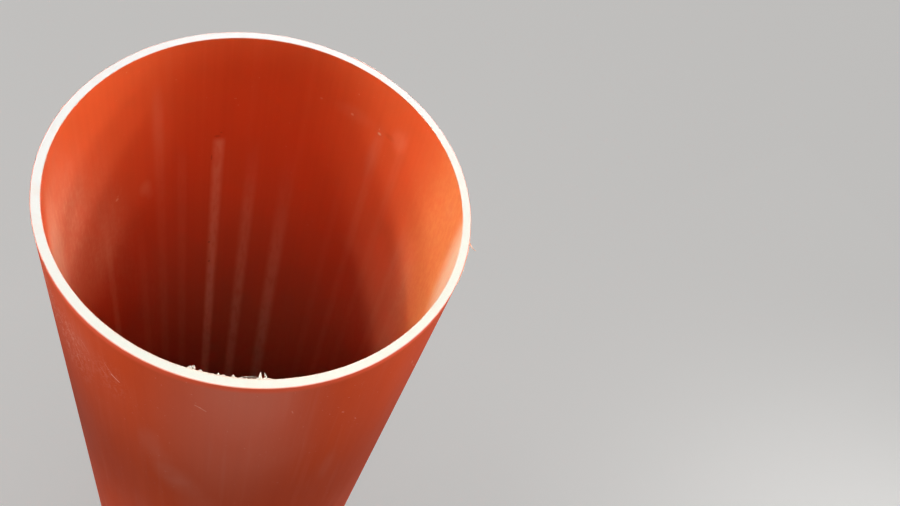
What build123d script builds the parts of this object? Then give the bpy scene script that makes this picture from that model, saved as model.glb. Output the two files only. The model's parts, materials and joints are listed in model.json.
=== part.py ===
"""A plain-ended PVC drain pipe: one extruded tube, sawn square at both ends.

Units are millimetres and +Z is up. The pipe stands on its lower end, and the origin is that end's centre.
"""

import os

from build123d import *

# Driving dimensions.
OUTSIDE_DIAMETER = 160.0  # the size that sockets, couplings and clips are made for
WALL_THICKNESS = 3.4
LENGTH = 1000.0
OUTER_ARRIS_BREAK = 0.3  # the sawn edge that handling rubs, round the outside of each end
BORE_ARRIS_BREAK = 0.2  # the same edge inside the bore, which is better protected

# Worked out from them.
OUTSIDE_RADIUS = OUTSIDE_DIAMETER / 2
BORE_RADIUS = OUTSIDE_RADIUS - WALL_THICKNESS


def rims_of_radius(part, radius):
    """The two circular edges of this radius, one at each end."""
    return part.edges().filter_by(GeomType.CIRCLE).filter_by(lambda rim: abs(rim.radius - radius) < 1e-6)


with BuildPart() as pipe:
    # The wall is the ring that is its section, extruded from one end to the other.
    with BuildSketch(Plane.XY) as wall_section:
        Circle(OUTSIDE_RADIUS)
        Circle(BORE_RADIUS, mode=Mode.SUBTRACT)
    extrude(amount=LENGTH)

    # The four sawn arrises are slightly broken.
    chamfer(rims_of_radius(pipe, OUTSIDE_RADIUS), OUTER_ARRIS_BREAK)
    chamfer(rims_of_radius(pipe, BORE_RADIUS), BORE_ARRIS_BREAK)

pipe.part.label = "pipe"

os.makedirs("parts", exist_ok=True)
export_step(pipe.part, "parts/pipe.step")
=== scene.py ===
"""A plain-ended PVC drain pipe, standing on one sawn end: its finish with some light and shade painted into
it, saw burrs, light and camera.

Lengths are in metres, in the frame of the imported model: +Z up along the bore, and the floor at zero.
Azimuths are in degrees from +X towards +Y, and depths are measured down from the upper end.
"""

import json
import math
import random

import bpy
from mathutils import Matrix, Vector, noise


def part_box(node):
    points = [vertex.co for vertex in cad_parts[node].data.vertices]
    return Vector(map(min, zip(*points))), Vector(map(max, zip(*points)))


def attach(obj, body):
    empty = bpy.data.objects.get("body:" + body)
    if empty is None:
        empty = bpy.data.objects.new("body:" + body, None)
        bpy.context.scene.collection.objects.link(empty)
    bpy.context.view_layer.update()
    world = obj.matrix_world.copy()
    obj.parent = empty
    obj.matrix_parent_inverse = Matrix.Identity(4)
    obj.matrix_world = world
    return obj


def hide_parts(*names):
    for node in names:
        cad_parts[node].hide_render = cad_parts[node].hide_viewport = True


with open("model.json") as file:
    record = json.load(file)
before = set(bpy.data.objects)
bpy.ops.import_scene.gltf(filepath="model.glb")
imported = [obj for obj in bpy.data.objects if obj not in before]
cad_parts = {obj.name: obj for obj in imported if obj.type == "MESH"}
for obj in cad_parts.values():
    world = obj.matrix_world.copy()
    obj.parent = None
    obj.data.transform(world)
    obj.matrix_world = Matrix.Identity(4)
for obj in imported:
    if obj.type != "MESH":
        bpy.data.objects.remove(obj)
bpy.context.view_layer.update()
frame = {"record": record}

MM = 0.001

# The pipe's sizes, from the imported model.
MOUNTS = {mount["name"]: mount for mount in frame["record"]["mounts"]}
FLOOR_Z, RIM_Z = (corner.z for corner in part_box("pipe"))
LENGTH = RIM_Z - FLOOR_Z
OUTER_RADIUS = MOUNTS["outside_wall"]["dims"]["r_mm"] * MM
BORE_RADIUS = MOUNTS["bore"]["dims"]["r_mm"] * MM
OUTER_BREAK = (LENGTH - MOUNTS["outside_wall"]["dims"]["length_mm"] * MM) / 2
BORE_BREAK = (LENGTH - MOUNTS["bore"]["dims"]["length_mm"] * MM) / 2

# The mesh of the wall.
SEGMENTS = 1440
WALL_ROWS = 10
FACE_ROWS = 8
SHARP_ANGLE = 28.0  # edges that turn by more degrees than this stay sharp

# The saw's work on both ends.
SAW_MARK_DEPTH = 0.07 * MM
SAW_MARK_PITCH = 1.6 * MM
SAW_DIRECTION = 28.0  # azimuth of the blade's travel at the lower end
SAW_TURN = 70.0  # how far the blade's travel is turned from there at the upper end
ARRIS_RAGGEDNESS = 0.55  # how far an arris break varies, as a share of itself
ARRIS_CELLS = 14  # cells of noise in one radius's length of an arris
ARRIS_APART = 9.7  # how far apart the noise of two arrises is taken
CREAM_SIDE = -40.0  # azimuth at which the sawn faces are creamiest

# Ragged lips that the blade drew out of the upper edges: first and last azimuth, and raggedness in mm.
BORE_LIPS = [(-82.0, -60.2, 0.34), (-58.0, -48.0, 0.07)]
OUTER_LIPS = [(79.5, 90.5, 0.30), (-177.8, -175.2, 0.10), (-1.6, 14.5, 0.10)]
# The lips' larger bumps: azimuth, height in mm, and half width in degrees.
BORE_BUMPS = [(-80.9, 0.95, 0.9), (-78.3, 0.7, 0.7), (-73.9, 0.85, 0.5), (-72.7, 0.65, 0.9),
              (-70.3, 0.95, 0.6), (-64.0, 0.8, 0.9), (-62.4, 0.75, 1.8)]
OUTER_BUMPS = [(89.3, 0.5, 0.5), (87.9, 0.45, 0.9), (86.2, 0.7, 1.0), (84.6, 0.6, 0.8), (82.8, 0.5, 1.0),
               (-176.4, 0.5, 0.7), (0.2, 0.34, 1.8), (4.0, 0.30, 4.5), (9.0, 0.20, 5.0)]
LIP_STEP = 0.06  # degrees between a lip's sections
LIP_TAPER = 8  # how many sections a lip takes to rise from its ends
LIP_ROOT = 0.35 * MM  # how far a lip reaches back into the wall
LIP_LEAST = 0.02 * MM  # how far even a lip's ends stand off the edge
# Lumps of torn plastic: azimuth, radius of their place, depth, and half width, all but the first in mm.
LUMPS = [(-80.25, 75.50, 0.30, 0.55), (-80.95, 75.85, 0.32, 0.50), (-79.85, 75.95, 0.25, 0.42),
         (-73.95, 76.00, 0.3, 0.32), (-70.35, 75.90, 0.3, 0.38), (-63.8, 75.9, 0.3, 0.48)]
# Spikes: azimuth, radius and depth in mm along each one, and the half width in mm at its root.
BORE_SPIKES = [([(-63.85, 76.3, 0.3), (-63.80, 75.5, 0.25), (-63.74, 74.7, 0.2), (-63.70, 74.0, 0.2)], 0.62),
               ([(-62.25, 76.3, 0.3), (-62.38, 75.5, 0.25), (-62.55, 74.8, 0.2), (-62.72, 74.1, 0.2)], 0.42)]
OUTER_SPIKES = [([(89.3, 79.7, 0.2), (89.5, 80.2, 0.1), (89.7, 80.5, 0.05)], 0.20),
                ([(88.2, 79.7, 0.2), (88.5, 80.3, 0.1), (88.9, 80.5, 0.1)], 0.18)]
# Azimuth, radius and depth in mm along the loose strip and the hair of swarf, and their half widths in mm.
LOOSE_STRIP = [(-68.9, 76.7, 0.30), (-68.2, 76.1, 0.25), (-67.0, 75.85, 0.20), (-65.8, 75.75, 0.20),
               (-64.8, 75.75, 0.25), (-64.0, 76.2, 0.30)]
STRIP_HALF_WIDTH = 0.14
HAIR = [(13.2, 79.7, 0.2), (12.7, 80.2, 0.25), (12.1, 80.8, 0.35), (11.6, 81.6, 0.5), (11.3, 82.5, 0.7),
        (11.2, 83.3, 0.9)]
HAIR_HALF_WIDTH = 0.35
# Short burrs: first and last azimuth, how many, and the longest in mm.
BORE_BURRS = [(-82.0, -61.0, 46, 0.5), (-180.0, 180.0, 150, 0.16), (-153.0, -146.0, 8, 0.45)]
OUTER_BURRS = [(80.0, 89.5, 40, 0.55), (-180.0, 180.0, 110, 0.13)]
BORE_SEED = 11
OUTER_SEED = 23

# Colours, as linear light.
ORANGE = (0.84, 0.135, 0.036)
ORANGE_DEEP = (0.74, 0.100, 0.025)
# The outside's orange is a darker copy of the bore's, as painted shade on the outer wall.
OUTSIDE_SHADED_ORANGE = (0.76, 0.088, 0.022)
OUTSIDE_SHADED_DEEP = (0.66, 0.066, 0.0155)
DARK_SPECK = (0.16, 0.03, 0.01)
# Pale dust, and the colour of the painted reflection on the outside's front.
PALE_DUST_AND_SHEEN = (0.94, 0.52, 0.42)
# Pale dust in the bore, and the colour of the painted light on its left near the rim.
BORE_DUST_AND_PAINTED_LIGHT = (0.92, 0.49, 0.30)
# The darker, greyer tone of the painted shade deep in the bore.
DEEP_PAINTED_SHADE = (0.60, 0.38, 0.235)
# Peach dust, and the colour of the painted reflection near the right of the mouth.
EDGE_DUST_AND_SHEEN = (0.95, 0.42, 0.13)
# The colour of the painted highlights at the mouth's edge.
RIM_HIGHLIGHT = (0.94, 0.78, 0.53)
RUN_MARK = (0.94, 0.50, 0.32)
# A brighter red painted below the rim and on the outer arris, as a painted highlight.
RIM_GLOW_RED = (0.97, 0.135, 0.060)
SAWN_CREAM = (0.69, 0.692, 0.61)
SAWN_WHITE = (0.80, 0.80, 0.785)
SAWN_SALMON = (0.75, 0.50, 0.36)
SWARF_RED = (0.84, 0.24, 0.13)
FLOOR_GREY = (0.66, 0.652, 0.64)
FLOOR_BOUNCE = (0.25, 0.246, 0.242)
WORLD_WHITE = (1.0, 0.98, 0.96)

# How strongly each surface reflects.
OUTSIDE_SPECULAR = 0.025
BORE_SPECULAR = 0.34
SAWN_SPECULAR = 0.3

# Run marks down the bore: azimuth, its drift in degrees a millimetre, and width in mm. Then the depth in mm
# where each one starts, how many mm it takes to come up to strength, and that strength.
BORE_STREAKS = [
    (129.0, 0.004, 5.4, 64, 5, 0.53), (116.4, 0.004, 6.2, 60, 80, 0.34), (103.2, 0.001, 7.6, 60, 120, 0.34),
    (150.6, 0.001, 5.6, 12, 30, 0.13), (142.4, 0.0, 5.0, 60, 30, 0.12), (73.2, 0.0, 5.0, 20, 20, 0.10),
    (63.4, 0.0, 5.0, 10, 15, 0.06), (175.4, 0.0, 5.0, 75, 50, 0.34), (49.8, 0.0, 5.0, 60, 30, 0.10),
    (83.0, 0.0, 5.0, 60, 60, 0.06), (159.7, 0.0, 5.0, 100, 60, 0.11), (40.5, 0.0, 4.0, 68, 20, 0.08),
]
# The run marks growing stronger with depth is a painted sheen of the deep wall, which is seen at a glancing
# angle.
STREAK_TOP = 60 * MM  # the depth down to which a run mark has its own strength
STREAK_FOOT = 340 * MM  # the depth at which it has grown to its strongest
STREAK_SHEEN_GROWTH = 2.4  # how many times as strong it is there
# Soft oval marks in the bore: the azimuth of the middle, then its depth, half width and half height in mm,
# and strength.
BORE_SMUDGES = [(156.6, 87.5, 4.5, 8, 0.30), (154.9, 94, 3.0, 6, 0.13), (72.0, 121, 11, 12, 0.10),
                (74.6, 50, 3.6, 20, 0.09), (65.8, 25, 6, 10, 0.10), (151.0, 48, 4.0, 26, 0.06),
                (84.0, 28, 14, 7, 0.06), (30.5, 15, 5, 8, 0.07)]
BORE_SPECKS = [(168.7, 81.5, 1.4, 1.4, 1.0), (168.2, 79.5, 0.8, 0.8, 0.5), (73.6, 30.2, 1.3, 1.1, 1.0),
               (84.9, 29.2, 1.0, 1.0, 0.7), (96.4, 28.0, 1.0, 0.8, 0.35)]
# Thin films of dust in the bore, given like its marks. Those at azimuths 175, -176, -158 and -152, near the
# rim on the left, are partly painted light that brightens the wall there.
BORE_FILMS_AND_PAINTED_LIGHT = [(-176, 84, 30, 80, 0.4), (-158, 64, 34, 80, 1.0), (-152, 84, 24, 90, 0.6),
              (175, 130, 24, 80, 0.6), (44, 100, 17, 44, 0.35), (36, 135, 14, 60, 0.4),
              (58, 195, 26, 110, 0.35), (158, 205, 20, 90, 0.35)]
# Peach films near the right of the mouth, given like the bore's marks: partly flecked dust, partly a painted
# reflection of the wall seen at a glancing angle.
EDGE_FILM_AND_SHEEN = [(24, 40, 50, 120, 0.62), (9, 70, 26, 120, 0.30)]
# Painted highlights at the edge of the mouth, a glare on the bore near the rim: azimuth, depth, half width,
# half height and strength.
EDGE_HIGHLIGHTS = [(8, 6, 22, 84, 0.8), (-151, 62, 15, 60, 0.26)]
BORE_DARK_SPECKS = [(131.1, 156.9, 0.9, 1.1, 0.5), (130.7, 177.5, 0.9, 1.1, 0.5),
                    (129.9, 64.0, 2.2, 1.3, 0.22), (128.6, 61.5, 0.8, 0.7, 0.25),
                    (69.6, 27.5, 4.0, 2.6, 0.10), (131.6, 80, 0.5, 3.0, 0.3)]
DEEP_SHADE_TOP = 10 * MM  # the depth where the painted shade that darkens and greys the bore starts
DEEP_SHADE_FOOT = 260 * MM  # the depth where it is at full strength

# Scratches on the outside: azimuth and depth in mm of both ends, width in mm, and strength.
WALL_SCRATCHES = [
    (-101.8, 28.6, -99.4, 30.7, 0.42, 0.9), (-102.2, 27.0, -100.2, 30.0, 0.24, 0.4),
    (-103.6, 23.0, -102.4, 26.4, 0.26, 0.4), (-105.4, 30.2, -103.9, 33.0, 0.24, 0.35),
    (-112.0, 22.0, -109.4, 27.0, 0.24, 0.4), (-116.5, 24.0, -113.8, 29.0, 0.24, 0.4),
    (-78.6, 21.0, -77.2, 22.4, 0.30, 0.55), (-77.4, 22.2, -75.8, 24.4, 0.30, 0.5),
    (-39.8, 36.6, -39.2, 37.6, 0.36, 0.6), (-34.0, 51.6, -33.4, 53.4, 0.32, 0.45),
    (-54.8, 21.6, -54.4, 23.6, 0.28, 0.3), (-15.0, 34.0, -14.2, 38.0, 0.36, 0.5),
    (-11.8, 44.6, -11.0, 47.6, 0.36, 0.5),
]
# Soft oval marks on the outside, given like the bore's. The two wide ones in front, at azimuths -68 and -66,
# are a painted reflection; the others are smears.
WALL_SMUDGES_AND_SHEEN = [(-112, 26, 12, 22, 0.05), (-91.4, 74, 7.0, 20, 0.07), (-88.5, 90, 8.0, 18, 0.05),
                (-85.0, 104, 12.5, 17, 0.08), (-81.5, 115, 12.0, 16, 0.065), (-77.0, 134, 13.0, 22, 0.05),
                (-68, 38, 42, 130, 0.145), (-66, 0, 24, 60, 0.08), (-38, 100, 5, 26, 0.06)]
WALL_SCUFFS = [(-131, 26, 14, 24, 1.0), (-119, 40, 18, 34, 1.0), (-103, 34, 12, 22, 0.35)]
SCUFF_AZIMUTH = -110.0  # azimuth from which the scuffs' fine lines are laid out
SCUFF_TURNS = (-38.0, -62.0, 4.0)  # the slants of these lines, in degrees
RED_BAND_FOOT = 5.0 * MM  # the depth where the brighter red band below the rim, a painted highlight, fades out
RED_BAND_TOP = 1.4 * MM  # the depth above which it is at full strength
WEAR_TOP = 110 * MM  # the depth where the smears of the lower wall start
WEAR_FULL = 260 * MM  # the depth below which they are at full strength

# The floor and the background.
FLOOR_HALF = 12.0  # half of the floor's width
FLOOR_GLOW = 0.67
FLOOR_SHADE_REACH = 0.5  # how near the pipe has to be to dim the floor's glow
WORLD_STRENGTH = 0.10
HORIZON_GLOW = 0.76  # the seen background's strength, at which it meets the floor's brightness

# The lamps that light the mouth: name, azimuth, elevation, watts and the grid's spread.
MOUTH_LAMPS = [("left_low", 184.0, 20.0, 0.40, 16.0), ("left", 189.0, 34.0, 0.89, 16.0),
               ("left_high", 197.0, 50.0, 0.66, 16.0), ("right_low", 47.0, 15.0, 0.62, 18.0),
               ("right", 40.0, 28.0, 0.72, 18.0), ("right_high", 30.0, 42.0, 0.36, 18.0)]
MOUTH_LAMP_DISTANCE = 1.5
MOUTH_LAMP_SIZE = (0.8, 0.5)
NO_GRID = 180.0  # the spread of a lamp that has no grid
# The square lamps in front: name, azimuth, elevation, distance, side, watts, lift and spread.
FRONT_LAMPS = [("front", -60.0, 0.0, 1.0, 0.5, 0.21, 0.15, 20.0),
               ("front_high", -56.0, 30.0, 0.6, 0.4, 0.42, 0.0, NO_GRID),
               ("high", -72.0, 64.0, 1.7, 0.5, 3.0, 0.0, NO_GRID)]
# The lamps that light the wall further down: azimuth, height above the floor, height of the box, and spread.
LOW_LAMPS = [(-130.0, 0.37, 0.9, 8.0), (-50.0, 0.37, 0.9, 8.0), (55.0, 0.46, 1.0, 14.0),
             (140.0, 0.46, 1.0, 14.0)]
LOW_LAMP_DISTANCE = 1.5
LOW_LAMP_WIDTH = 0.5
LOW_LAMP_WATTS = 0.36

# The camera, fitted to the rim's two ellipses and the two sides of the pipe in the photograph.
LENS_MM = 36.02
SENSOR_MM = 36.0
EYE_FROM_RIM = Vector((0.07277, -0.18670, 0.27910))
PITCH_DOWN = 54.88
ROLL = 25.08
NEAR_CLIP = 0.01


class Nodes:
    """Short calls that build one material's node tree."""

    def __init__(self, name, specular=0.5):
        self.material = bpy.data.materials.new(name)
        self.material.use_nodes = True
        self.tree = self.material.node_tree
        self.shader = self.tree.nodes["Principled BSDF"]
        self.output = self.tree.nodes["Material Output"]
        self.shader.inputs["Specular IOR Level"].default_value = specular

    def add(self, kind, *inputs, **settings):
        node = self.tree.nodes.new(kind)
        for key, value in settings.items():
            setattr(node, key, value)
        for socket, value in zip(node.inputs, inputs):
            self.give(socket, value)
        return node

    def give(self, socket, value):
        if isinstance(value, bpy.types.NodeSocket):
            self.tree.links.new(value, socket)
        elif value is not None:
            socket.default_value = value

    def math(self, operation, *values):
        return self.add("ShaderNodeMath", *values, operation=operation).outputs[0]

    def vector(self, operation, *values):
        node = self.add("ShaderNodeVectorMath", *values, operation=operation)
        return node.outputs["Value" if operation in ("LENGTH", "DOT_PRODUCT") else "Vector"]

    def noise(self, vector, scale, detail=3.0, roughness=0.5):
        node = self.add("ShaderNodeTexNoise")
        inputs = {"Vector": vector, "Scale": scale, "Detail": detail, "Roughness": roughness}
        for name, value in inputs.items():
            self.give(node.inputs[name], value)
        return node.outputs[0]

    def fade(self, value, start, end, to_start=0.0, to_end=1.0):
        """A smooth step from to_start, where value is start, to to_end, where it is end."""
        node = self.add("ShaderNodeMapRange", value, start, end, to_start, to_end)
        node.interpolation_type = "SMOOTHSTEP"
        return node.outputs[0]

    def mix(self, factor, first, second):
        """The first colour where the factor is zero, and the second where it is one."""
        node = self.add("ShaderNodeMix", data_type="RGBA")
        self.give(node.inputs[0], factor)
        for socket, value in ((node.inputs[6], first), (node.inputs[7], second)):
            self.give(socket, (*value, 1.0) if isinstance(value, tuple) else value)
        return node.outputs[2]

    def product(self, *values):
        result = values[0]
        for value in values[1:]:
            result = self.math("MULTIPLY", result, value)
        return result

    def total(self, values):
        """The sum of several masks, held below one."""
        result = values[0]
        for value in values[1:]:
            result = self.math("ADD", result, value)
        return self.math("MINIMUM", result, 1.0)

    def bump(self, height, distance, normal=None):
        node = self.add("ShaderNodeBump")
        node.inputs["Distance"].default_value = distance
        self.give(node.inputs["Height"], height)
        self.give(node.inputs["Normal"], normal)
        return node.outputs[0]


class PipeSurface:
    """Where a shaded point lies on the pipe: its position, depth and distance from the axis."""

    def __init__(self, nodes, wall_radius):
        self.nodes = nodes
        self.wall_radius = wall_radius
        self.position = nodes.add("ShaderNodeTexCoord").outputs["Object"]
        axes = nodes.add("ShaderNodeSeparateXYZ", self.position).outputs
        self.depth = nodes.math("SUBTRACT", RIM_Z, axes["Z"])
        self.radius = nodes.vector("LENGTH", nodes.vector("MULTIPLY", self.position, (1.0, 1.0, 0.0)))

    def stretched(self, along):
        """The position with its axial part scaled, so that noise is drawn out along the pipe."""
        return self.nodes.vector("MULTIPLY", self.position, (1.0, 1.0, along))

    def unrolled(self, azimuth):
        """Arc length from an azimuth, and depth, as a flat vector with no seam near that azimuth."""
        turned = self.nodes.add("ShaderNodeVectorRotate", self.position, rotation_type="Z_AXIS")
        turned.inputs["Angle"].default_value = -math.radians(azimuth)
        axes = self.nodes.add("ShaderNodeSeparateXYZ", turned.outputs[0]).outputs
        arc = self.nodes.product(self.nodes.math("ARCTAN2", axes["Y"], axes["X"]), self.wall_radius)
        return self.nodes.add("ShaderNodeCombineXYZ", arc, self.depth, 0.0).outputs[0]

    def oval(self, blob):
        """One soft oval mark: azimuth, depth, half width, half height and strength."""
        azimuth, depth, half_width, half_height, strength = blob
        offset = self.nodes.vector("SUBTRACT", self.unrolled(azimuth), (0.0, depth * MM, 0.0))
        shares = self.nodes.vector("DIVIDE", offset, (half_width * MM, half_height * MM, 1.0))
        return self.nodes.product(self.nodes.fade(self.nodes.vector("LENGTH", shares), 1.0, 0.2), strength)

    def ovals(self, blobs):
        return self.nodes.total([self.oval(blob) for blob in blobs])


def streak_mask(surface, streak):
    """One soft pale band along the bore, from its first depth downwards. It grows stronger with depth, which
    is a painted sheen of the deep wall seen at a glancing angle.
    """
    nodes = surface.nodes
    azimuth, drift, width, first_depth, ramp, strength = streak
    flat = nodes.add("ShaderNodeSeparateXYZ", surface.unrolled(azimuth)).outputs
    slope = math.radians(drift) * BORE_RADIUS / MM
    offset = nodes.math("SUBTRACT", flat["X"], nodes.product(flat["Y"], slope))
    across = nodes.fade(nodes.math("ABSOLUTE", offset), width * 0.72 * MM, width * 0.15 * MM)
    start = nodes.fade(flat["Y"], first_depth * MM, (first_depth + ramp) * MM)
    sheen_growth = nodes.fade(flat["Y"], STREAK_TOP, STREAK_FOOT, strength, strength * STREAK_SHEEN_GROWTH)
    return nodes.product(across, start, sheen_growth)


def scratch_mask(surface, scratch):
    """One straight scratch on the outside, by a point's distance from its line."""
    nodes = surface.nodes
    azimuth_a, depth_a, azimuth_b, depth_b, width, strength = scratch
    run = Vector((math.radians(azimuth_b - azimuth_a) * OUTER_RADIUS, (depth_b - depth_a) * MM, 0.0))
    offset = nodes.vector("SUBTRACT", surface.unrolled(azimuth_a), (0.0, depth_a * MM, 0.0))
    share = nodes.vector("DOT_PRODUCT", offset, tuple(run / run.length_squared))
    share = nodes.math("MINIMUM", nodes.math("MAXIMUM", share, 0.0), 1.0)
    foot = nodes.add("ShaderNodeCombineXYZ", nodes.product(share, run.x), nodes.product(share, run.y), 0.0)
    distance = nodes.vector("LENGTH", nodes.vector("SUBTRACT", offset, foot.outputs[0]))
    return nodes.product(nodes.fade(distance, width * MM, width * 0.2 * MM), strength)


def pvc_colour(surface, bright, deep):
    """The orange of the wall, with slow changes of tone and the faint lines that the die leaves."""
    nodes = surface.nodes
    tone = nodes.noise(surface.stretched(0.2), 14.0)
    lines = nodes.noise(surface.stretched(0.012), 420.0, detail=2.0)
    share = nodes.math("ADD", nodes.fade(tone, 0.3, 0.7, 0.0, 0.6), nodes.fade(lines, 0.35, 0.7, 0.0, 0.14))
    return nodes.mix(share, bright, deep)


def pvc_relief(surface):
    """Die lines along the wall, and a shallow waviness that keeps the gloss from looking machined."""
    nodes = surface.nodes
    waves = nodes.bump(nodes.noise(surface.stretched(0.35), 38.0, detail=1.0), 0.16 * MM)
    broad_lines = nodes.bump(nodes.noise(surface.stretched(0.01), 170.0, detail=1.0), 0.05 * MM, waves)
    return nodes.bump(nodes.noise(surface.stretched(0.02), 900.0, detail=2.0), 0.012 * MM, broad_lines)


def hair_scratches(surface, turn):
    """Fine short rub lines with one slant, for the scuffs."""
    nodes = surface.nodes
    turned = nodes.add("ShaderNodeVectorRotate", surface.unrolled(SCUFF_AZIMUTH), rotation_type="Z_AXIS")
    turned.inputs["Angle"].default_value = math.radians(turn)
    drawn = nodes.vector("MULTIPLY", turned.outputs[0], (1.0, 0.09, 1.0))
    return nodes.fade(nodes.noise(drawn, 1700.0, detail=2.0, roughness=0.6), 0.60, 0.70)


def scuffed_patch(surface):
    """The zone near the rim that rubbed on something: dense fine scuffs among pale mottling."""
    nodes = surface.nodes
    zone = surface.ovals(WALL_SCUFFS)
    blotches = nodes.noise(surface.stretched(0.3), 760.0, detail=4.0, roughness=0.7)
    mottle = nodes.fade(blotches, 0.48, 0.66, 0.0, 0.7)
    hairs = nodes.total([hair_scratches(surface, turn) for turn in SCUFF_TURNS])
    return nodes.product(nodes.total([mottle, hairs]), zone, 0.42)


def handling_dust_and_sheen(surface):
    """Where the outside is rubbed, smeared, scuffed and scratched, and where a reflection is painted on its
    front, from 0 to 1.
    """
    nodes = surface.nodes
    rubbed = nodes.fade(nodes.noise(surface.stretched(0.5), 19.0, detail=5.0, roughness=0.6), 0.50, 0.75)
    rub_lines = nodes.fade(nodes.noise(surface.stretched(0.04), 1300.0, detail=2.0), 0.60, 0.74)
    rubs = nodes.product(rubbed, nodes.math("ADD", nodes.product(rub_lines, 0.12), 0.03))
    specks = nodes.fade(nodes.noise(surface.position, 820.0, detail=1.0), 0.755, 0.80, 0.0, 0.35)
    clouds = nodes.noise(surface.stretched(0.2), 26.0, detail=5.0, roughness=0.62)
    smears = nodes.fade(clouds, 0.50, 0.74, 0.0, 0.15)
    long_lines = nodes.fade(nodes.noise(surface.stretched(0.03), 260.0), 0.56, 0.70, 0.0, 0.24)
    lower = nodes.fade(surface.depth, WEAR_TOP, WEAR_FULL)
    worn_lower = nodes.product(lower, nodes.total([smears, nodes.product(long_lines, rubbed)]))
    wear = nodes.math("ADD", worn_lower, nodes.product(long_lines, 0.10))
    scratches = [scratch_mask(surface, scratch) for scratch in WALL_SCRATCHES]
    smudges_and_sheen = surface.ovals(WALL_SMUDGES_AND_SHEEN)
    return nodes.total([rubs, specks, wear, scuffed_patch(surface), smudges_and_sheen, *scratches])


def outside_material():
    """Satin orange PVC that has been handled, darker than the bore's as painted shade, with a painted
    reflection on its front and a brighter red band below the rim as a painted highlight.
    """
    nodes = Nodes("pvc_outside", OUTSIDE_SPECULAR)
    surface = PipeSurface(nodes, OUTER_RADIUS)
    dust_and_painted_light = handling_dust_and_sheen(surface)
    rim_glow_band = nodes.fade(surface.depth, RED_BAND_FOOT, RED_BAND_TOP, 0.0, 0.85)
    colour = nodes.mix(dust_and_painted_light, pvc_colour(surface, OUTSIDE_SHADED_ORANGE, OUTSIDE_SHADED_DEEP), PALE_DUST_AND_SHEEN)
    nodes.give(nodes.shader.inputs["Base Color"], nodes.mix(rim_glow_band, colour, RIM_GLOW_RED))
    worn = nodes.product(nodes.noise(surface.stretched(0.3), 60.0), 0.16)
    roughness = nodes.math("ADD", nodes.math("ADD", worn, 0.46), nodes.product(dust_and_painted_light, 0.5))
    nodes.give(nodes.shader.inputs["Roughness"], roughness)
    nodes.give(nodes.shader.inputs["Normal"], pvc_relief(surface))
    return nodes.material


def bore_material():
    """The same PVC inside, glossier, with run marks and thin films of dust. Light is painted into it too: a
    sheen on the deeper run marks, light and highlights at the mouth's edge, a reflection on its right, and
    shade that darkens and greys the bore with depth.
    """
    nodes = Nodes("pvc_bore", BORE_SPECULAR)
    surface = PipeSurface(nodes, BORE_RADIUS)
    broken = nodes.fade(nodes.noise(surface.stretched(0.25), 420.0), 0.25, 0.60, 0.62, 1.0)
    streaks = nodes.product(nodes.total([streak_mask(surface, streak) for streak in BORE_STREAKS]), broken)
    faint = nodes.fade(nodes.noise(surface.stretched(0.02), 150.0), 0.52, 0.75, 0.0, 0.03)
    strokes = nodes.noise(surface.stretched(0.14), 620.0, roughness=0.6)
    mottle = nodes.noise(surface.stretched(0.6), 430.0, detail=5.0, roughness=0.7)
    grain = nodes.math("ADD", nodes.fade(strokes, 0.36, 0.68, 0.14, 0.34),
                       nodes.fade(mottle, 0.42, 0.64, 0.04, 0.26))
    deep_painted_shade = nodes.fade(surface.depth, DEEP_SHADE_TOP, DEEP_SHADE_FOOT, 0.0, 0.32)
    film_and_painted_light = nodes.product(grain, surface.ovals(BORE_FILMS_AND_PAINTED_LIGHT))
    specks = nodes.fade(nodes.noise(surface.position, 700.0, detail=1.0), 0.77, 0.81, 0.0, 0.3)
    dust_and_painted_light = nodes.total([faint, film_and_painted_light, specks, surface.ovals(BORE_SMUDGES), surface.ovals(BORE_SPECKS)])
    flecks = nodes.math("ADD", nodes.fade(strokes, 0.30, 0.68, 0.40, 0.60),
                        nodes.fade(mottle, 0.40, 0.66, 0.15, 0.45))
    edge_film_and_sheen = nodes.product(surface.ovals(EDGE_FILM_AND_SHEEN), flecks)
    colour = nodes.mix(deep_painted_shade, pvc_colour(surface, ORANGE, ORANGE_DEEP), DEEP_PAINTED_SHADE)
    colour = nodes.mix(streaks, colour, RUN_MARK)
    colour = nodes.mix(surface.ovals(BORE_DARK_SPECKS), colour, DARK_SPECK)
    colour = nodes.mix(edge_film_and_sheen, colour, EDGE_DUST_AND_SHEEN)
    colour = nodes.mix(dust_and_painted_light, colour, BORE_DUST_AND_PAINTED_LIGHT)
    painted_highlight = nodes.product(surface.ovals(EDGE_HIGHLIGHTS), nodes.fade(strokes, 0.30, 0.68, 0.75, 1.0))
    nodes.give(nodes.shader.inputs["Base Color"], nodes.mix(painted_highlight, colour, RIM_HIGHLIGHT))
    worn = nodes.product(nodes.noise(surface.stretched(0.3), 50.0), 0.12)
    dulled = nodes.product(nodes.total([dust_and_painted_light, deep_painted_shade, streaks]), 0.5)
    roughness = nodes.math("ADD", nodes.math("ADD", worn, 0.27), dulled)
    nodes.give(nodes.shader.inputs["Roughness"], roughness)
    nodes.give(nodes.shader.inputs["Normal"], pvc_relief(surface))
    return nodes.material


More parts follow.
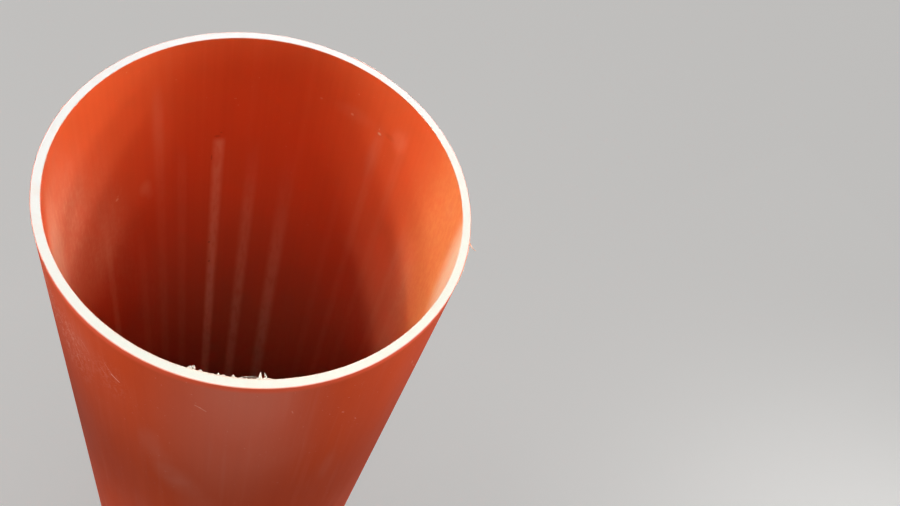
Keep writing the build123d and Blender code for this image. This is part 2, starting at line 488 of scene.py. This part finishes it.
def sawn_material():
    """PVC that the saw has whitened: white on one side of the pipe, cream on the other, and salmon towards
    the wall's edges. Its outer arris is painted a brighter red as a painted highlight, and the burrs that
    stand off the wall stay pale."""
    nodes = Nodes("pvc_sawn", SAWN_SPECULAR)
    surface = PipeSurface(nodes, OUTER_RADIUS)
    middle = (OUTER_RADIUS + BORE_RADIUS) / 2
    half = (OUTER_RADIUS - BORE_RADIUS) / 2
    from_middle = nodes.math("ABSOLUTE", nodes.math("SUBTRACT", surface.radius, middle))
    on_face = nodes.fade(from_middle, half * 1.05, half * 1.25, 1.0, 0.25)
    edge = nodes.product(nodes.fade(from_middle, half * 0.74, half * 1.02, 0.0, 0.7), on_face)
    patches = nodes.fade(nodes.noise(surface.position, 160.0, detail=4.0), 0.45, 0.78, 0.0, 0.16)
    grain = nodes.noise(surface.position, 1900.0, roughness=0.7)
    turn = math.radians(CREAM_SIDE)
    towards_cream = (math.cos(turn) / OUTER_RADIUS, math.sin(turn) / OUTER_RADIUS, 0.0)
    side = nodes.vector("DOT_PRODUCT", surface.position, towards_cream)
    colour = nodes.mix(nodes.fade(side, -0.9, 0.9), SAWN_WHITE, SAWN_CREAM)
    colour = nodes.mix(nodes.total([edge, patches]), colour, SAWN_SALMON)
    shade = nodes.fade(grain, 0.3, 0.7, 0.0, 0.07)
    colour = nodes.mix(shade, colour, SAWN_SALMON)
    outer = nodes.fade(surface.radius, OUTER_RADIUS - 0.45 * MM, OUTER_RADIUS - 0.10 * MM, 0.0, 0.6)
    on_wall = nodes.fade(surface.radius, OUTER_RADIUS + 0.02 * MM, OUTER_RADIUS + 0.10 * MM, 1.0, 0.0)
    nodes.give(nodes.shader.inputs["Base Color"], nodes.mix(nodes.product(outer, on_wall), colour, RIM_GLOW_RED))
    nodes.give(nodes.shader.inputs["Roughness"], nodes.fade(grain, 0.3, 0.7, 0.62, 0.8))
    nodes.give(nodes.shader.inputs["Normal"], nodes.bump(grain, 0.05 * MM))
    return nodes.material


def swarf_material():
    """A thin curl of the pipe's own colour that isn't whitened through."""
    nodes = Nodes("pvc_swarf", SAWN_SPECULAR)
    position = nodes.add("ShaderNodeTexCoord").outputs["Object"]
    share = nodes.fade(nodes.noise(position, 900.0), 0.35, 0.65, 0.4, 0.9)
    nodes.give(nodes.shader.inputs["Base Color"], nodes.mix(share, SWARF_RED, SAWN_SALMON))
    nodes.shader.inputs["Roughness"].default_value = 0.5
    return nodes.material


def new_piece(name, points, faces):
    mesh = bpy.data.meshes.new(name)
    mesh.from_pydata(points, [], faces)
    mesh.validate()
    mesh.shade_smooth()
    piece = bpy.data.objects.new(name, mesh)
    bpy.context.scene.collection.objects.link(piece)
    return piece


def arris_share(azimuth, arris):
    """How large an arris break is at this azimuth, as a share of its full size. Each arris has a number,
    which gives it raggedness of its own."""
    x, y = math.cos(azimuth) * ARRIS_CELLS, math.sin(azimuth) * ARRIS_CELLS
    return 1.0 - ARRIS_RAGGEDNESS * (0.5 + 0.5 * noise.noise(Vector((x, y, arris * ARRIS_APART))))


def saw_mark(x, y, end):
    """How deep the saw has scored this point of an end, from 0 to 1. The upper end is 1, the lower 0."""
    turn = math.radians(SAW_DIRECTION + SAW_TURN * end)
    across = -x * math.sin(turn) + y * math.cos(turn)
    return 0.5 + 0.5 * noise.noise(Vector((across / SAW_MARK_PITCH, 3.1 * end, 0.7)))


def end_rows(azimuth, top):
    """The points of one sawn end at this azimuth, from its outer arris to its bore arris."""
    end, inward = (RIM_Z, -1) if top else (FLOOR_Z, 1)
    outer = OUTER_BREAK * arris_share(azimuth, 1 + top)
    inner = BORE_BREAK * arris_share(azimuth, 4 + top)
    points = [(OUTER_RADIUS, end + inward * outer)]
    for step in range(FACE_ROWS + 1):
        share = step / FACE_ROWS
        radius = (OUTER_RADIUS - outer) * (1 - share) + (BORE_RADIUS + inner) * share
        x, y = radius * math.cos(azimuth), radius * math.sin(azimuth)
        points.append((radius, end + inward * SAW_MARK_DEPTH * saw_mark(x, y, int(top))))
    points.append((BORE_RADIUS, end + inward * inner))
    return points


def section(azimuth):
    """The closed section of the wall at this azimuth: up the outside, over the top and down the bore."""
    upper = end_rows(azimuth, True)
    lower = end_rows(azimuth, False)
    outside = [(OUTER_RADIUS, FLOOR_Z + LENGTH * row / (WALL_ROWS + 1)) for row in range(1, WALL_ROWS + 1)]
    inside = [(BORE_RADIUS, height) for _, height in reversed(outside)]
    return outside + upper + inside + list(reversed(lower))


def face_material(row):
    """0 for the outside, 1 for a sawn end and its arrises, 2 for the bore."""
    end_points = FACE_ROWS + 3
    top_start = WALL_ROWS
    bore_start = top_start + end_points
    bottom_start = bore_start + WALL_ROWS
    if top_start <= row < bore_start - 1 or bottom_start <= row < bottom_start + end_points - 1:
        return 1
    return 2 if bore_start - 1 <= row < bottom_start else 0


def build_wall(end_material):
    """The pipe itself, turned about its axis from its section."""
    points, faces, materials = [], [], []
    rows = len(section(0.0))
    for segment in range(SEGMENTS):
        azimuth = 2 * math.pi * segment / SEGMENTS
        for radius, height in section(azimuth):
            points.append((radius * math.cos(azimuth), radius * math.sin(azimuth), height))
        following = (segment + 1) % SEGMENTS
        for row in range(rows):
            above = (row + 1) % rows
            faces.append((segment * rows + row, following * rows + row,
                          following * rows + above, segment * rows + above))
            materials.append(face_material(row))
    wall = new_piece("pipe_wall", points, faces)
    for material in (outside_material(), end_material, bore_material()):
        wall.data.materials.append(material)
    wall.data.polygons.foreach_set("material_index", materials)
    wall.data.set_sharp_from_angle(angle=math.radians(SHARP_ANGLE))
    return wall


def place(azimuth, radius, depth):
    """The point at this azimuth in degrees, radius and depth."""
    angle = math.radians(azimuth)
    return Vector((math.cos(angle) * radius, math.sin(angle) * radius, RIM_Z - depth))


def follow(path):
    """The points of a path that gives its azimuths, and its radii and depths in mm."""
    return [place(azimuth, radius * MM, depth * MM) for azimuth, radius, depth in path]


def close_tube(faces, first, rings, corners):
    """The faces of a closed tube whose rings of corners start at this point."""
    for ring in range(rings - 1):
        start = first + corners * ring
        following = start + corners
        for corner in range(corners):
            beside = (corner + 1) % corners
            faces.append((start + corner, start + beside, following + beside, following + corner))
    faces.append(tuple(first + corner for corner in reversed(range(corners))))
    last = first + corners * (rings - 1)
    faces.append(tuple(last + corner for corner in range(corners)))


def lip_reach(azimuth, bumps, ragged):
    """How far a lip stands off its edge at this azimuth."""
    coarse = noise.noise(Vector((azimuth * 2.3, 1.7, 0.0)))
    fine = noise.noise(Vector((azimuth * 7.1, 0.3, 3.0)))
    grain = coarse + 0.6 * fine
    reach = ragged * max(0.1, 0.5 + 0.6 * grain)
    for centre, height, half_width in bumps:
        share = max(0.0, 1.0 - abs(azimuth - centre) / half_width)
        reach = max(reach, height * share ** 0.7 * (1.0 + 0.25 * grain))
    return reach * MM


def add_lip(points, faces, lip, bumps, edge_radius, sign):
    """A thin ragged fin along an upper edge. It points into the bore, or out where sign is positive."""
    start, stop, ragged = lip
    stations = int((stop - start) / LIP_STEP)
    first = len(points)
    for station in range(stations + 1):
        azimuth = start + (stop - start) * station / stations
        taper = min(1.0, station / LIP_TAPER, (stations - station) / LIP_TAPER)
        reach = lip_reach(azimuth, bumps, ragged) * taper + LIP_LEAST
        wander = 0.06 * MM * noise.noise(Vector((azimuth * 3.1, 5.0, 0.0)))
        # The corners of this section: the root's top, the fin's top, its tip, and the root's foot.
        for beyond, depth in ((-LIP_ROOT, 0.13 * MM), (reach * 0.8, 0.12 * MM + wander),
                              (reach, 0.26 * MM + wander), (-LIP_ROOT, 0.50 * MM)):
            points.append(place(azimuth, edge_radius + sign * beyond, depth))
    close_tube(faces, first, stations + 1, 4)


def add_lump(points, faces, lump, chance):
    """One rounded lump of torn plastic with an uneven surface."""
    azimuth, radius, depth, half_width = lump
    middle = place(azimuth, radius * MM, depth * MM)
    first, rings, corners = len(points), 6, 8
    for ring in range(rings):
        tilt = math.pi * (ring + 0.5) / rings
        for corner in range(corners):
            turn = 2 * math.pi * corner / corners
            reach = half_width * MM * chance.uniform(0.75, 1.1)
            points.append(middle + Vector((math.sin(tilt) * math.cos(turn), math.sin(tilt) * math.sin(turn),
                                           -0.6 * math.cos(tilt))) * reach)
    close_tube(faces, first, rings, corners)


def add_thread(points, faces, path, half_width):
    """A tapering thread of swarf along a path, closed at both ends."""
    first, corners = len(points), 6
    for step, middle in enumerate(path):
        ahead = (path[min(step + 1, len(path) - 1)] - path[max(step - 1, 0)]).normalized()
        side = ahead.cross(Vector((0, 0, 1))).normalized()
        rise = side.cross(ahead)
        reach = half_width * (1.0 - 0.85 * (step / (len(path) - 1)) ** 1.3)
        for corner in range(corners):
            turn = 2 * math.pi * corner / corners
            points.append(middle + side * math.cos(turn) * reach + rise * math.sin(turn) * reach * 0.6)
    close_tube(faces, first, len(path), corners)


def add_burrs(points, faces, group, edge_radius, sign, chance):
    """Short ragged burrs along an upper edge, into the bore or out from the wall."""
    start, stop, count, longest = group
    for _ in range(count):
        azimuth = chance.uniform(start, stop)
        length = longest * MM * chance.uniform(0.35, 1.0)
        lean = math.degrees(length * chance.uniform(-0.8, 0.8) / edge_radius)
        root = place(azimuth, edge_radius - sign * 0.2 * MM, 0.3 * MM)
        tip = place(azimuth + lean, edge_radius + sign * length, chance.uniform(0.08, 0.5) * MM)
        middle = root.lerp(tip, 0.6) + Vector((0, 0, chance.uniform(-0.1, 0.02) * MM))
        add_thread(points, faces, [root, middle, tip], max(length * chance.uniform(0.22, 0.45), 0.05 * MM))


def build_bore_burrs():
    """The ragged edge inside the rim, with a loose strip and two long spikes at its front."""
    chance = random.Random(BORE_SEED)
    points, faces = [], []
    for lip in BORE_LIPS:
        add_lip(points, faces, lip, BORE_BUMPS, BORE_RADIUS, -1)
    for lump in LUMPS:
        add_lump(points, faces, lump, chance)
    for path, half_width in BORE_SPIKES:
        add_thread(points, faces, follow(path), half_width * MM)
    add_thread(points, faces, follow(LOOSE_STRIP), STRIP_HALF_WIDTH * MM)
    for group in BORE_BURRS:
        add_burrs(points, faces, group, BORE_RADIUS, -1, chance)
    return new_piece("bore_burrs", points, faces)


def build_outer_burrs():
    """The swarf that the saw left on the outer edge."""
    chance = random.Random(OUTER_SEED)
    points, faces = [], []
    for lip in OUTER_LIPS:
        add_lip(points, faces, lip, OUTER_BUMPS, OUTER_RADIUS, 1)
    for path, half_width in OUTER_SPIKES:
        add_thread(points, faces, follow(path), half_width * MM)
    for group in OUTER_BURRS:
        add_burrs(points, faces, group, OUTER_RADIUS, 1, chance)
    return new_piece("outer_burrs", points, faces)


def build_hair():
    """One loose curl of swarf that still hangs from the outer edge."""
    points, faces = [], []
    add_thread(points, faces, follow(HAIR), HAIR_HALF_WIDTH * MM)
    return new_piece("swarf_hair", points, faces)


def seen_directly(tree):
    """One for what the camera sees, straight, in a reflection or through glass. Zero for scattered light."""
    path = tree.nodes.new("ShaderNodeLightPath").outputs
    result = path["Is Camera Ray"]
    for kind in ("Is Glossy Ray", "Is Transmission Ray"):
        either = tree.nodes.new("ShaderNodeMath")
        either.operation = "MAXIMUM"
        tree.links.new(result, either.inputs[0])
        tree.links.new(path[kind], either.inputs[1])
        result = either.outputs[0]
    return result


def build_floor():
    """A wide pale floor. It looks pale to the camera and in reflections, with the pipe's soft shade round
    its foot, and throws less light back up."""
    corners = [(-FLOOR_HALF, -FLOOR_HALF, FLOOR_Z), (FLOOR_HALF, -FLOOR_HALF, FLOOR_Z),
               (FLOOR_HALF, FLOOR_HALF, FLOOR_Z), (-FLOOR_HALF, FLOOR_HALF, FLOOR_Z)]
    floor = new_piece("floor", corners, [(0, 1, 2, 3)])
    nodes = Nodes("studio_floor")
    nodes.tree.nodes.remove(nodes.shader)
    pale = nodes.add("ShaderNodeBsdfDiffuse")
    pale.inputs["Color"].default_value = (*FLOOR_GREY, 1.0)
    glow = nodes.add("ShaderNodeEmission")
    glow.inputs["Color"].default_value = (*FLOOR_GREY, 1.0)
    shade = nodes.add("ShaderNodeAmbientOcclusion")
    shade.inputs["Distance"].default_value = FLOOR_SHADE_REACH
    nodes.give(glow.inputs["Strength"], nodes.product(shade.outputs["AO"], FLOOR_GLOW))
    seen = nodes.add("ShaderNodeAddShader", pale.outputs[0], glow.outputs[0]).outputs[0]
    lighting = nodes.add("ShaderNodeBsdfDiffuse")
    lighting.inputs["Color"].default_value = (*FLOOR_BOUNCE, 1.0)
    blend = nodes.add("ShaderNodeMixShader", seen_directly(nodes.tree), lighting.outputs[0], seen)
    nodes.give(nodes.output.inputs["Surface"], blend.outputs[0])
    floor.data.materials.append(nodes.material)
    return floor


def build_world():
    """Even pale light from all round. The camera and reflections see it as bright as the floor."""
    world = bpy.data.worlds.new("studio")
    world.use_nodes = True
    tree = world.node_tree
    background = tree.nodes["Background"]
    background.inputs["Color"].default_value = (*WORLD_WHITE, 1.0)
    background.inputs["Strength"].default_value = WORLD_STRENGTH
    seen = tree.nodes.new("ShaderNodeBackground")
    seen.inputs["Color"].default_value = (*FLOOR_GREY, 1.0)
    seen.inputs["Strength"].default_value = HORIZON_GLOW
    blend = tree.nodes.new("ShaderNodeMixShader")
    tree.links.new(seen_directly(tree), blend.inputs[0])
    tree.links.new(background.outputs[0], blend.inputs[1])
    tree.links.new(seen.outputs[0], blend.inputs[2])
    tree.links.new(blend.outputs[0], tree.nodes["World Output"].inputs["Surface"])
    bpy.context.scene.world = world


def add_softbox(name, azimuth, elevation, distance, size, watts, lift, spread):
    """A soft lamp that faces the pipe's mouth, from this azimuth and elevation. Lift moves it up across its
    beam, and a grid on its front holds the beam to the spread's angle."""
    lamp = bpy.data.lights.new(name, "AREA")
    lamp.shape = "RECTANGLE"
    lamp.size, lamp.size_y = size
    lamp.energy = watts
    lamp.spread = math.radians(spread)
    box = bpy.data.objects.new(name, lamp)
    box.visible_camera = False
    bpy.context.scene.collection.objects.link(box)
    around, above = math.radians(azimuth), math.radians(elevation)
    level = Vector((math.cos(around), math.sin(around), 0.0))
    towards = level * math.cos(above) + Vector((0.0, 0.0, math.sin(above)))
    across = Vector((0.0, 0.0, math.cos(above))) - level * math.sin(above)
    box.location = Vector((0.0, 0.0, RIM_Z)) + towards * distance + across * lift
    box.rotation_euler = (-towards).to_track_quat("-Z", "Y").to_euler()


def build_lights():
    """Soft light for the bore from both sides, the front and high up, and for the wall all round."""
    for name, azimuth, elevation, watts, spread in MOUTH_LAMPS:
        # The beam comes over the near side of the rim, with little of it on the wall below.
        lift = MOUTH_LAMP_SIZE[1] / 2 - OUTER_RADIUS * math.sin(math.radians(elevation))
        add_softbox(name, azimuth, elevation, MOUTH_LAMP_DISTANCE, MOUTH_LAMP_SIZE, watts, lift, spread)
    for name, azimuth, elevation, distance, side, watts, lift, spread in FRONT_LAMPS:
        add_softbox(name, azimuth, elevation, distance, (side, side), watts, lift, spread)
    for azimuth, above_floor, height, spread in LOW_LAMPS:
        add_softbox(f"low_{azimuth:.0f}", azimuth, 0.0, LOW_LAMP_DISTANCE, (LOW_LAMP_WIDTH, height),
                    LOW_LAMP_WATTS, above_floor - LENGTH, spread)


def build_camera():
    camera = bpy.data.objects.new("camera", bpy.data.cameras.new("camera"))
    bpy.context.scene.collection.objects.link(camera)
    camera.data.lens = LENS_MM
    camera.data.sensor_width = SENSOR_MM
    tilt = Matrix.Rotation(math.radians(90 - PITCH_DOWN), 4, "X")
    roll = Matrix.Rotation(math.radians(ROLL), 4, "Z")
    camera.matrix_world = Matrix.Translation(Vector((0, 0, RIM_Z)) + EYE_FROM_RIM) @ tilt @ roll
    camera.data.clip_start = NEAR_CLIP
    bpy.context.scene.camera = camera


sawn = sawn_material()
swarf = swarf_material()

build_camera()
build_world()
build_lights()
build_floor()

pipe_wall = build_wall(sawn)
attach(pipe_wall, "root")
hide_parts("pipe")

for burrs, material in ((build_bore_burrs(), sawn), (build_outer_burrs(), sawn), (build_hair(), swarf)):
    burrs.data.materials.append(material)
    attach(burrs, "root")

bpy.context.scene.view_settings.view_transform = "Standard"
